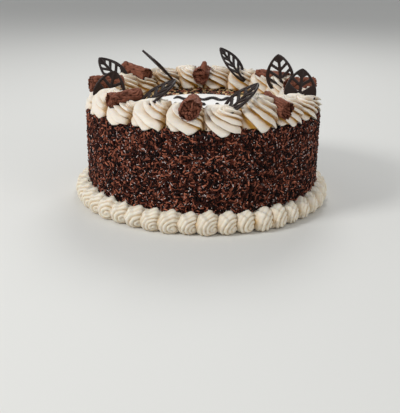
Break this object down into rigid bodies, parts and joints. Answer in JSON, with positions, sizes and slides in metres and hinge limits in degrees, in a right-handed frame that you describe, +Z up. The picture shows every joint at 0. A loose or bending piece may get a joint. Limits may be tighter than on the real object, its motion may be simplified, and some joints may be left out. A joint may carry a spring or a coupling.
{
  "type": "chocolate cake",
  "caption": "Round iced chocolate gateau coated in vermicelli, with piped cream, chocolate sticks, filigree leaves and an icing plaque.",
  "frame": {"origin": "centre of the cake's base, on the surface that it stands on", "axes": "+Z up, -Y towards the front of the cake, +X to its right seen from the front"},
  "size_m": [0.2312, 0.2312, 0.1217],
  "materials": {
    "vermicelli_coat": "matte, sugar-dull chocolate strands",
    "cream_ivory": "soft satin whipped cream",
    "cream": "soft satin whipped cream",
    "white_icing": "smooth matte sugar icing with dark piped scrolls",
    "milk_chocolate": "matte ruffled milk chocolate",
    "dark_chocolate": "satin moulded dark chocolate"
  },
  "bodies": {
    "root": {"cake": "vermicelli_coat", "foot_border": "cream_ivory", "plaque": "white_icing", "swirl_01": "cream", "swirl_02": "cream", "swirl_03": "cream", "swirl_04": "cream", "swirl_05": "cream", "swirl_06": "cream", "swirl_07": "cream", "swirl_08": "cream", "swirl_09": "cream", "swirl_10": "cream", "swirl_11": "cream", "swirl_12": "cream", "swirl_13": "cream", "swirl_14": "cream", "swirl_15": "cream", "swirl_16": "cream", "swirl_17": "cream", "swirl_18": "cream", "swirl_19": "cream", "swirl_20": "cream", "stick_01": "milk_chocolate", "stick_02": "milk_chocolate", "stick_03": "milk_chocolate", "stick_04": "milk_chocolate", "stick_05": "milk_chocolate", "stick_06": "milk_chocolate", "stick_07": "milk_chocolate", "stick_08": "milk_chocolate", "leaf_01": "dark_chocolate", "leaf_02": "dark_chocolate", "leaf_03": "dark_chocolate", "leaf_04": "dark_chocolate", "leaf_05": "dark_chocolate", "leaf_06": "dark_chocolate", "leaf_07": "dark_chocolate", "leaf_08": "dark_chocolate"}
  },
  "joints": []
}
